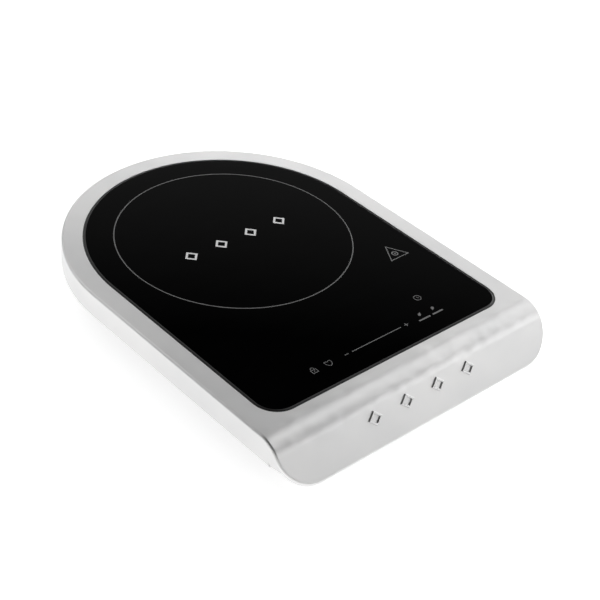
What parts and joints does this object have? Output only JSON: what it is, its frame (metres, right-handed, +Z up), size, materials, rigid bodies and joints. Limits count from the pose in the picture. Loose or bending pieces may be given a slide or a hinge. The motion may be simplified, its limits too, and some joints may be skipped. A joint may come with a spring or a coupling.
{
  "type": "portable induction cooktop",
  "caption": "Portable induction cooktop: D-shaped metal body, black glass with printed cooking zone and touch icons, sloping front apron, sprung coil, cooling fan and electronics inside.",
  "frame": {"origin": "on the table, under the middle of the body", "axes": "+Z up, +X to the user's right, -Y towards the user, +Y to the round back"},
  "size_m": [0.295, 0.3925, 0.0444],
  "materials": {
    "satin_metal": "satin metallic finish, fine sparkle",
    "bright_metal": "polished plated trim",
    "cooktop_glass": "opaque black glass-ceramic, polished, ground edge",
    "black_silicone": "matt silicone bead",
    "black_plastic": "fine spark-eroded texture",
    "zinc_steel": "bright zinc plating",
    "spring_steel": "drawn wire",
    "label_foil": "blank silver foil label",
    "grey_plastic": "glass-filled moulding",
    "board_green": "solder-masked laminate",
    "aluminium": "extruded and sheet aluminium",
    "black_package": "moulded device package",
    "capacitor_case": "moulded capacitor box",
    "ferrite": "sintered ferrite",
    "copper": "enamelled litz and stranded copper",
    "brass": "turned brass and sintered bronze",
    "white_plastic": "nylon connector",
    "fuse_glass": "clear glass tube with capped ends",
    "wire_sleeve": "insulated wire",
    "contact_foam": "conductive foam pad",
    "mica": "mica and fibre sheet",
    "glass_bead": "glass-sealed bead"
  },
  "bodies": {
    "chassis": {"top_housing": "satin_metal", "glass_plate": "cooktop_glass", "glass_seal": "black_silicone", "front_emblem": "bright_metal", "base_tub": "black_plastic", "foot_front_left": "black_silicone", "foot_front_right": "black_silicone", "foot_rear_left": "black_silicone", "foot_rear_right": "black_silicone", "base_screws": "zinc_steel", "cord_gland": "black_plastic", "gland_clip": "black_plastic", "rating_plate": "label_foil", "control_bracket": "grey_plastic", "control_screws": "zinc_steel", "control_board": "board_green", "touch_electrodes": "contact_foam", "indicator_leds": "white_plastic", "ribbon_cable": "wire_sleeve", "power_board": "board_green", "floor_screws": "zinc_steel", "heat_sink": "aluminium", "power_transistor": "black_package", "bridge_rectifier": "black_package", "device_screws": "zinc_steel", "dc_link_capacitor": "capacitor_case", "resonant_capacitor": "capacitor_case", "suppression_capacitor": "capacitor_case", "smoothing_capacitor": "black_package", "choke_core": "ferrite", "choke_winding": "copper", "aux_transformer": "ferrite", "fuse": "fuse_glass", "mains_terminals": "white_plastic", "mains_leads": "wire_sleeve", "coil_terminals": "brass", "board_connectors": "white_plastic", "buzzer": "black_package", "fan_frame": "black_plastic", "fan_stator": "copper", "fan_bearing": "brass", "fan_screws": "zinc_steel", "fan_lead": "wire_sleeve", "heat_shield": "aluminium", "coil_spring_rear": "spring_steel", "coil_spring_left": "spring_steel", "coil_spring_front": "spring_steel", "coil_mount_screws": "zinc_steel", "earth_lead": "wire_sleeve", "earth_screw": "zinc_steel"},
    "coil_assembly": {"coil_winding": "copper", "coil_carrier": "grey_plastic", "ferrite_bars": "ferrite", "insulation_sheet": "mica", "sensor_cap": "black_silicone", "thermistor": "glass_bead", "coil_leads": "copper"},
    "fan_rotor": {"fan_rotor": "black_plastic"}
  },
  "joints": [
    {"name": "fan_spin", "type": "hinge", "parent": "chassis", "child": "fan_rotor", "pos_m": [-0.066, -0.102, 0.016], "axis": [0, 0, 1], "continuous": true},
    {"name": "coil_float", "type": "slide", "parent": "chassis", "child": "coil_assembly", "axis": [0, 0, 1], "range_m": [-0.0015, 0], "stiffness_N_per_m": 2500, "springref_m": 0.006, "deforming": ["coil_spring_rear", "coil_spring_left", "coil_spring_front", "coil_leads"]}
  ]
}
